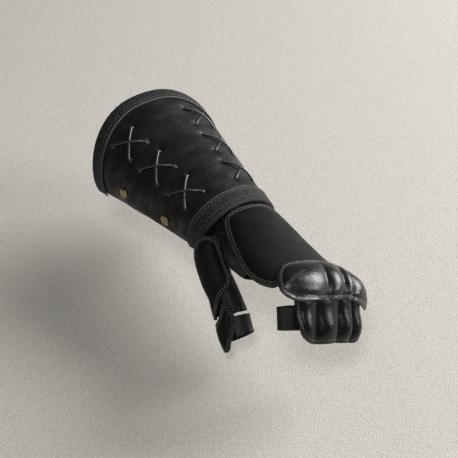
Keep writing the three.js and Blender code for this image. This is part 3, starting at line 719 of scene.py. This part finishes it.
# The half glove: thin soft leather, sewn to shape, that wrinkles where its thumb begins. It runs from inside
# the cuff to the knuckles on the back and to the middle of the palm, and is open at each end.
HAND_DEVIATION = 2
HAND_EXTENSION = 5.6
KNUCKLE_AT = 0.115
KNUCKLE_ARC = 0.026
KNUCKLE_RADIUS = 0.010
KNUCKLE_TURN = 63
KNUCKLE_DROP = 0.004
HAND_HALF_WIDTH = 0.0465
HAND_HALF_HEIGHT = 0.0258
SECTIONS = {
    "at": [-0.113, 0.026, 0.243, 0.487, 0.713, 0.922, 1.243, 1.565],
    "half_width": [0.766, 0.766, 0.796, 0.882, 0.946, 1, 0.968, 0.935],
    "half_height": [1, 1, 0.93, 0.833, 0.736, 0.62, 0.504, 0.465],
    "roll": [0, 0, 11, 20, 22.4, 22.4, 22.4, 22.4],
    "shift": [0, 0, 0.02, 0.065, 0.065, 0, -0.086, -0.086],
}
THUMB_LENGTH = 0.120
THUMB_RADIUS = 0.013
THUMB_LINE = np.array([
    (-0.15, 0, 0.05), (-0.292, -0.083, -0.017), (-0.325, -0.225, -0.175), (-0.325, -0.308, -0.258),
    (-0.358, -0.425, -0.375), (-0.392, -0.55, -0.492), (-0.4, -0.667, -0.567),
]) * THUMB_LENGTH
THUMB_RADII = [0.615, 1, 1, 0.962, 0.923, 0.885, 0.846]
THUMB_SPREAD = [1, 1, 1, 1.1, 1.5, 1.6, 1.5]
THUMB_FACING = (-0.7, -0.4, 0.59)
CREASE_CENTRE = 0.12  # share of the thumb line that the creases run round
CREASE_REACH = 0.038
CREASE_PITCH = 0.0062
CREASE_DEPTH = 0.55  # mm
GLOVE_BLACK = "#101011"
GLOVE_WORN = "#2b2b2c"


def section(column, s):
    """A column of the hand's table at distances from the wrist, its corners rounded off."""
    share = s / KNUCKLE_AT
    steps = (-0.06, -0.03, 0, 0.03, 0.06)
    return sum(np.interp(share + step, SECTIONS["at"], SECTIONS[column]) for step in steps) / len(steps)


def unit(vectors):
    return vectors / np.linalg.norm(vectors, axis=-1, keepdims=True)


def scaled(amount, vectors):
    return np.asarray(amount)[..., None] * vectors


def hand_surface(degrees, s):
    """Degrees from the middle of the back towards the thumb, and distance from the wrist edge."""
    degrees, s = np.broadcast_arrays(np.asarray(degrees, float), np.asarray(s, float))
    outside = eased(s, -0.004, 0.002)
    tilt = np.radians(HAND_EXTENSION) * outside
    turn = -np.radians(HAND_DEVIATION) * outside
    forward = np.stack([np.cos(tilt) * np.sin(turn), -np.cos(tilt) * np.cos(turn), np.sin(tilt)], -1)
    level = np.stack([-np.cos(turn), -np.sin(turn), 0 * turn], -1)
    roll = -np.radians(section("roll", s))
    thumbwards = scaled(np.cos(roll), level) + scaled(np.sin(roll), np.cross(forward, level))
    up = np.cross(thumbwards, forward)
    bend = np.clip((s - KNUCKLE_AT) / KNUCKLE_ARC, 0, 1) * np.radians(KNUCKLE_TURN)
    out = scaled(np.cos(bend), up) + scaled(np.sin(bend), forward)
    on = scaled(np.cos(bend), forward) - scaled(np.sin(bend), up)
    middle = (scaled(np.minimum(s, KNUCKLE_AT), forward)
              + scaled(section("shift", s) * HAND_HALF_WIDTH, thumbwards)
              + KNUCKLE_RADIUS * (out - up) + scaled(np.maximum(0, s - KNUCKLE_AT - KNUCKLE_ARC), on))
    a = np.radians(degrees)
    little = np.clip(-np.sin(a), 0, 1) ** 2 * eased(s, 0.35 * KNUCKLE_AT, KNUCKLE_AT)
    return (middle + scaled(np.sin(a) * HAND_HALF_WIDTH * section("half_width", s), thumbwards)
            + scaled(np.cos(a) * HAND_HALF_HEIGHT * section("half_height", s), out)
            - scaled(KNUCKLE_DROP * little, up))


def thumb_point(share):
    """The thumb's middle line: a centripetal Catmull-Rom curve through its points."""
    points = np.vstack([2 * THUMB_LINE[0] - THUMB_LINE[1], THUMB_LINE, 2 * THUMB_LINE[-1] - THUMB_LINE[-2]])
    at = np.clip(share, 0, 1) * (len(THUMB_LINE) - 1)
    i = np.minimum(at.astype(int), len(THUMB_LINE) - 2)
    t = (at - i)[..., None]
    p = [points[i + k] for k in range(4)]
    d = [np.sqrt(np.linalg.norm(p[k + 1] - p[k], axis=-1, keepdims=True)) for k in range(3)]
    t1 = ((p[1] - p[0]) / d[0] - (p[2] - p[0]) / (d[0] + d[1]) + (p[2] - p[1]) / d[1]) * d[1]
    t2 = ((p[2] - p[1]) / d[1] - (p[3] - p[1]) / (d[1] + d[2]) + (p[3] - p[2]) / d[2]) * d[1]
    square = 3 * (p[2] - p[1]) - 2 * t1 - t2
    cube = 2 * (p[1] - p[2]) + t1 + t2
    return p[1] + t1 * t + square * t ** 2 + cube * t ** 3


def thumb_surface(degrees, share):
    """Degrees round the thumb from the side its plates lie on, and the share of its length."""
    degrees, share = np.broadcast_arrays(np.asarray(degrees, float), np.asarray(share, float))
    tangent = unit(thumb_point(share + 0.01) - thumb_point(share - 0.01))
    facing = np.broadcast_to(np.array(THUMB_FACING), tangent.shape)
    out = unit(facing - scaled((facing * tangent).sum(-1), tangent))
    side = np.cross(tangent, out)
    a = np.radians(degrees)
    shares = np.linspace(0, 1, len(THUMB_RADII))
    radius = THUMB_RADIUS * np.interp(share, shares, THUMB_RADII)
    spread = np.where(np.sin(a) < 0, np.interp(share, shares, THUMB_SPREAD), 1)
    return thumb_point(share) + scaled(np.cos(a) * radius, out) + scaled(np.sin(a) * radius * spread, side)


def make_glove(material):
    """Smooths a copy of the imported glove, then draws it into soft wrinkles."""
    bm = bmesh.new()
    bm.from_mesh(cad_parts["glove"].data)
    bmesh.ops.remove_doubles(bm, verts=bm.verts, dist=1e-6)
    glove = add_piece("soft_glove", bm, material, "soft_leather", "glove")
    add_modifier(glove, "REMESH", mode="VOXEL", voxel_size=0.9 * MM)
    add_modifier(glove, "SMOOTH", factor=0.5, iterations=8)
    evaluated = glove.evaluated_get(bpy.context.evaluated_depsgraph_get())
    smooth = bpy.data.meshes.new_from_object(evaluated)
    glove.modifiers.clear()
    old = glove.data
    glove.data = smooth
    bpy.data.meshes.remove(old)
    spots, normals = np.empty((2, len(smooth.vertices), 3))
    smooth.vertices.foreach_get("co", spots.ravel())
    smooth.vertices.foreach_get("normal", normals.ravel())
    folds = np.array([
        noise.noise((x * 60, y * 130, z * 60)) * 0.35 + noise.noise((x * 260, y * 260, z * 260)) * 0.12
        for x, y, z in spots])
    bent = np.array([noise.noise((x * 45, y * 45, z * 45)) for x, y, z in spots]) * 9 * MM
    reach = np.linalg.norm(spots - thumb_point(np.array([CREASE_CENTRE])), axis=1)
    creases = np.sin((reach + bent) * math.tau / CREASE_PITCH)
    creases = creases * eased(reach, CREASE_REACH, 0.4 * CREASE_REACH)
    height = (folds + CREASE_DEPTH * creases) * MM
    smooth.vertices.foreach_set("co", (spots + scaled(height, normals)).ravel())
    smooth.shade_smooth()


glove_leather = tanned_leather("soft_glove_leather", GLOVE_BLACK, GLOVE_WORN, 0.5, 1.1 * MM, 0.16 * MM, 0.35)
make_glove(glove_leather)


# The back plate, the first of the padded plates: two layers of leather with padding between them. The edge
# is turned into a firm roll, then comes a pressed channel with the seam in it, and then the pad stands up.
PLATE_RISE = [(0, 1.2), (0.35, 2.1), (0.8, 2.6), (1.4, 2.7), (2.1, 2.35), (3.0, 2.0), (4.0, 1.9), (4.8, 2.3),
              (6.2, 2.9), (9, 3.5), (14, 3.9)]  # mm in from the edge, and mm of height
MOULDED_RISE = [(0, 1.0), (0.5, 1.7), (1.2, 2.1), (2.2, 2.1), (3.2, 1.9), (4.0, 1.9), (5.0, 2.4), (7, 3.3),
                (10, 3.9), (14, 4.2)]
TURNED_RIM = 1.3 * MM  # how much higher the knuckle plate's rim stands where it is turned out
SEAM_INSET = 4.0 * MM
STITCH_SLANT = 0.75 * MM
CORNER_SOFTNESS = 2.6 * MM
SIDE_POINTS = 400  # points on each of an outline's four sides
BACK_PLATE_START = 0.007
BACK_PLATE_END = 0.117
BACK_PLATE = {
    "share": [0, 0.015, 0.05, 0.12, 0.27, 0.56, 0.75, 0.87, 0.96, 1],
    "little": [56, 62, 68, 72, 76, 78, 76, 72, 68, 64],
    "thumb": [16, 26, 36, 45, 59, 79, 88, 86, 77, 70],
}
PLATE_BLACK = "#121213"
# the lighter colour of worn edges, which also paints the rolls' highlight
PLATE_WEAR_AND_HIGHLIGHT = "#6a6a6c"


def spot_on(outline, low, high, start, end, skirt=None):
    """Where shares of a plate's width and length lie: degrees, and distance along the surface it is on."""
    def spot(across, along):
        sides = [np.interp(along, outline["share"], outline[column]) for column in (low, high)]
        degrees = -sides[0] + (sides[0] + sides[1]) * across
        v = start + (end - start) * along
        if skirt:
            v = v + skirt * along * eased(-degrees, 20, 75)
        return degrees, v
    return spot


def crowded(share):
    """Shares that lie closer together towards both ends, where a plate's edge needs its detail."""
    return share - 0.62 * np.sin(math.tau * share) / math.tau


def tree_of(points):
    tree = kdtree.KDTree(len(points))
    for i, point in enumerate(points):
        tree.insert(point, i)
    tree.balance()
    return tree


class Plate:
    """A plate's outline on its surface, with soft corners, and the patch inside it."""

    def __init__(self, surface, spot):
        count = 4 * SIDE_POINTS
        t = np.linspace(0, 1, SIDE_POINTS, endpoint=False)
        across = np.concatenate([t, 0 * t + 1, 1 - t, 0 * t])
        along = np.concatenate([0 * t, t, 0 * t + 1, 1 - t])
        u, v = spot(across, along)
        points = surface(u, v)
        run = np.concatenate([[0], np.cumsum(np.linalg.norm(np.roll(points, -1, axis=0) - points, axis=1))])
        self.surface = surface
        self.step = run[-1] / count
        even = np.arange(count) * self.step
        reach = int(3 * CORNER_SOFTNESS / self.step)
        weights = np.exp(-0.5 * (np.arange(-reach, reach + 1) * self.step / CORNER_SOFTNESS) ** 2)
        weights /= weights.sum()
        self.u, self.v = (
            np.convolve(np.pad(np.interp(even, run, np.append(c, c[0])), reach, mode="wrap"), weights,
                        "valid")
            for c in (u, v))
        self.corners = run[np.arange(5) * SIDE_POINTS] / self.step
        self.tree = tree_of(surface(self.u, self.v))

    def side(self, number, share):
        """Degrees and distance at a share of one side of the outline; the sides run one after the other."""
        at = self.corners[number] + (self.corners[number + 1] - self.corners[number]) * share
        turns = np.arange(len(self.u) + 1)
        return np.array([np.interp(at, turns, np.append(c, c[0])) for c in (self.u, self.v)])

    def patch(self, across, along):
        start, far, end, near = (self.side(0, across), self.side(1, along), self.side(2, 1 - across),
                                 self.side(3, 1 - along))
        corner = [self.side(k, np.zeros(1)) for k in range(4)]
        ruled = ((1 - across) * (1 - along) * corner[0] + across * (1 - along) * corner[1]
                 + across * along * corner[2] + (1 - across) * along * corner[3])
        return (1 - along) * start + along * end + (1 - across) * near + across * far - ruled

    def inwards(self, inset):
        """The outline moved in by a distance, without the loops that its corners would leave."""
        points = self.surface(self.u, self.v)
        on = unit(np.roll(points, -4, axis=0) - np.roll(points, 4, axis=0))
        out = outwards(self.surface, self.u, self.v)
        moved = points + np.cross(out, on) * inset
        clear = [self.tree.find(p)[2] > inset * 0.95 for p in moved]
        keep = np.flatnonzero(clear)
        keep = np.append(keep, keep[0])
        return moved[keep], out[keep], self.u[keep], self.v[keep]

    def away(self, u, v):
        return np.array([self.tree.find(p)[2] for p in self.surface(u, v)])


def nothing(u, v):
    return 0 * u


def padded_plate(name, node, plate, cells, base, material, swell=nothing, rim=1.0, worn_and_lit=0.7, bright=nothing,
                 rise=PLATE_RISE):
    """A padded plate with its roll, channel and pad, and the seam sewn in the channel."""
    inset, height = np.array(rise).T * MM
    fine = np.linspace(0, inset[-1], 200)
    soft = np.convolve(np.pad(np.interp(fine, inset, height), 4, mode="edge"), np.ones(9) / 9, "valid")
    wear_and_highlight = []

    def over(across, along):
        u, v = plate.patch(crowded(across), crowded(along))
        # turned raises the rim and also paints a highlight into its colour
        turned = bright(u, v)
        away = plate.away(u, v) / (rim * (1 + 0.5 * turned))
        ridge = np.exp(-(((away - 1.2 * MM) / (0.7 * MM)) ** 2))
        # the roll's crest is painted lighter: part wear, part painted highlight where it catches the light
        wear_and_highlight.append((worn_and_lit + turned) * ridge)
        height = np.interp(away, fine, soft) + TURNED_RIM * turned * ridge
        return raised(plate.surface, u, v, base + height + swell(u, v))

    def under(across, along):
        u, v = plate.patch(crowded(across), crowded(along))
        wear_and_highlight.append(0 * u)
        return raised(plate.surface, u, v, base + swell(u, v))

    bm = bmesh.new()
    closed_band(bm, *cells, under, over)
    bmesh.ops.recalc_face_normals(bm, faces=bm.faces)
    made = add_piece(name, bm, material, "armour_leather", node)
    set_wear_and_highlight(made, np.concatenate(wear_and_highlight))
    points, out, u, v = plate.inwards(SEAM_INSET * rim)
    line = points + scaled(base + np.interp(SEAM_INSET, fine, soft) + 0.15 * MM + swell(u, v), out)
    aside = unit(np.cross(out, np.gradient(line, axis=0))) * STITCH_SLANT
    sew(name + "_stitches", [line], 2.9 * MM, 1.9 * MM, 0.46 * MM, [aside])
    return made


plate_leather = tanned_leather(
    "padded_plate_leather", PLATE_BLACK, PLATE_WEAR_AND_HIGHLIGHT, 0.54, 0.8 * MM, 0.1 * MM, 0.16)
back_spot = spot_on(BACK_PLATE, "little", "thumb", BACK_PLATE_START, BACK_PLATE_END)
padded_plate("back_pad", "back_plate", Plate(hand_surface, back_spot), (110, 120), FIT_GAP, plate_leather)


# The knuckle plate overlaps the back plate and is moulded over the four knuckles, so that a groove runs
# between each two of them. It is waxed harder, and shines on the knuckles.
GROOVES = [-33, -11, 19]
KNUCKLE_GROOVES = [-29, -15, 8]  # at the plate's lower edge
GROOVE_LEAN = 450  # degrees in a metre: how the knuckles' grooves draw towards the thumb as they run down
FINGERS_END = [-62, 52]
GROOVE_DEPTH = 0.0034
GROOVES_START = 0.108
GROOVES_FULL = 0.130
DOMES = [(0.124, 0.013, 0.0014), (0.160, 0.011, 0.0034)]  # where, how far and how high each joint stands up
PLATE_THICKNESS = 0.004
KNUCKLE_PLATE_START = 0.100
KNUCKLE_PLATE_END = 0.138
KNUCKLE_PLATE_SKIRT = 0.008
KNUCKLE_RIM = 0.8  # how wide its roll and channel are, beside the back plate's
KNUCKLE_PLATE = {
    "share": [0, 0.04, 0.28, 0.55, 0.76, 0.93, 1],
    "little": [60, 72, 84, 90, 92, 90, 84],
    "thumb": [30, 38, 56, 68, 68, 57, 46],
}


def moulded(degrees, s, grooves=GROOVES):
    """How the leather is drawn down between the fingers and stands up round over each knuckle."""
    edges = np.array([FINGERS_END[0], *grooves, FINGERS_END[1]])
    finger = np.clip(np.searchsorted(edges, degrees) - 1, 0, 3)
    middle = (edges[finger] + edges[finger + 1]) / 2
    half = (edges[finger + 1] - edges[finger]) / 2
    off = np.clip((degrees - middle) / half, -1, 1)
    off = np.where((finger == 0) & (off < 0) | (finger == 3) & (off > 0), 0.55 * off, off)
    round_down = 1 - np.sqrt(1 - 0.93 * off ** 2)
    dome = sum(rise * np.exp(-(((s - at) / reach) ** 2)) for at, reach, rise in DOMES) * (1 - off ** 2)
    return dome - GROOVE_DEPTH * round_down / 0.735 * eased(s, GROOVES_START, GROOVES_FULL)


def turned_lit_rim(degrees, s):
    """The rim's brightest stretch, under the index finger's knuckle, where it is turned out higher and
    painted lighter as a painted highlight.
    """
    return np.exp(-(((degrees - 44) / 20) ** 2)) * eased(s, 0.119, 0.129)


def over_knuckles(degrees, s):
    return moulded(degrees + GROOVE_LEAN * (KNUCKLE_PLATE_END - s), s, KNUCKLE_GROOVES)


knuckle_leather = tanned_leather(
    "moulded_knuckle_leather", PLATE_BLACK, PLATE_WEAR_AND_HIGHLIGHT, 0.29, 0.8 * MM, 0.08 * MM, 0.62)
knuckle_spot = spot_on(
    KNUCKLE_PLATE, "little", "thumb", KNUCKLE_PLATE_START, KNUCKLE_PLATE_END, KNUCKLE_PLATE_SKIRT)
padded_plate("knuckle_pad", "knuckle_plate", Plate(hand_surface, knuckle_spot), (180, 80),
             2 * FIT_GAP + PLATE_THICKNESS, knuckle_leather, over_knuckles, KNUCKLE_RIM, 0.15, turned_lit_rim,
             MOULDED_RISE)


# The knuckle plate's dart: a short seam across its index finger's side, that takes in the leather there.
# It is sewn over and over with coarse thread, pulled tight.
DART = [(56, 0.1235), (37, 0.1192), (23, 0.1165)]  # degrees and distance along the hand


def sew_dart():
    u, s = (np.interp(np.linspace(0, 1, 60), [0, 0.5, 1], column) for column in zip(*DART))
    away = Plate(hand_surface, knuckle_spot).away(u, s) / KNUCKLE_RIM
    rise = np.interp(away, *(np.array(MOULDED_RISE).T * MM))
    lift = 2 * FIT_GAP + PLATE_THICKNESS + rise + 0.1 * MM
    out = outwards(hand_surface, u, s)
    line = hand_surface(u, s) + scaled(lift + over_knuckles(u, s), out)
    aside = unit(np.cross(out, np.gradient(line, axis=0))) * 1.1 * MM
    sew("knuckle_dart_stitches", [line], 2.4 * MM, 1.0 * MM, 0.42 * MM, [aside])


sew_dart()


# The finger plate hangs from the knuckles over the first joints of the four fingers, moulded round each.
# It is made as the knuckle plate is, with a tighter and weaker shine.
FINGER_PLATE_START = 0.130
FINGER_PLATE_END = 0.174
FINGER_PLATE = {
    "share": [0, 0.5, 0.82, 0.93, 1],
    "little": [56, 57, 56, 52, 46],
    "thumb": [50, 49, 42, 33, 24],
}
finger_leather = tanned_leather(
    "moulded_finger_leather", PLATE_BLACK, PLATE_WEAR_AND_HIGHLIGHT, 0.25, 0.8 * MM, 0.08 * MM, 0.30)
finger_spot = spot_on(FINGER_PLATE, "little", "thumb", FINGER_PLATE_START, FINGER_PLATE_END)
padded_plate("finger_pad", "finger_plate", Plate(hand_surface, finger_spot), (140, 90), FIT_GAP,
             finger_leather, moulded, 0.7, 0.15, nothing, MOULDED_RISE)


# The thumb's plates: a long one from the wrist over the ball of the thumb, and a leaf-shaped one beyond it.
# Both are padded and sewn as the back plate is, with a narrower roll.
THUMB_PLATE_START = 0.12
THUMB_PLATE_END = 0.68
THUMB_PLATE = {
    "share": [0, 0.05, 0.15, 0.39, 0.56, 0.68, 0.83, 1],
    "right": [24, 46, 60, 62, 48, 8, -16, -50],
    "left": [24, 50, 76, 84, 84, 84, 84, 80],
}
THUMB_TIP_PLATE_START = 0.57
THUMB_TIP_PLATE_END = 0.92
THUMB_TIP_PLATE = {
    "share": [0, 0.18, 0.34, 0.42, 0.7, 1],
    "right": [10, 22, 28, 26, 12, -23],
    "left": [2, 12, 34, 84, 84, 60],
}
thumb_spot = spot_on(THUMB_PLATE, "right", "left", THUMB_PLATE_START, THUMB_PLATE_END)
padded_plate("thumb_pad", "thumb_plate", Plate(thumb_surface, thumb_spot), (80, 130), FIT_GAP, plate_leather,
             rim=0.8)
tip_spot = spot_on(THUMB_TIP_PLATE, "right", "left", THUMB_TIP_PLATE_START, THUMB_TIP_PLATE_END)
padded_plate("thumb_tip_pad", "thumb_tip_plate", Plate(thumb_surface, tip_spot), (70, 90), FIT_GAP,
             plate_leather, rim=0.7)


# The loops: straps of the glove's soft leather round the fingers and the thumb. Each goes under the edges of
# its plate, which hold it.
FINGER_LOOP = {"from": 38, "to": 312, "start": 0.143, "end": 0.162}
THUMB_LOOP = {"from": 50, "to": 345, "start": 0.68, "end": 0.84}
LOOP_THICKNESS = 0.002


def make_loop(name, node, surface, row):
    def run(height):
        return lambda across, along: raised(
            surface, row["from"] + (row["to"] - row["from"]) * across,
            row["start"] + (row["end"] - row["start"]) * along, height + 0 * across)
    bm = bmesh.new()
    closed_band(bm, 130, 12, run(-LOOP_THICKNESS), run(0))
    bmesh.ops.recalc_face_normals(bm, faces=bm.faces)
    made = add_piece(name, bm, glove_leather, "soft_leather", node)
    add_modifier(made, "BEVEL", width=0.5 * MM, segments=2, limit_method="ANGLE")


make_loop("finger_strap", "finger_loop", hand_surface, FINGER_LOOP)
make_loop("thumb_strap", "thumb_loop", thumb_surface, THUMB_LOOP)
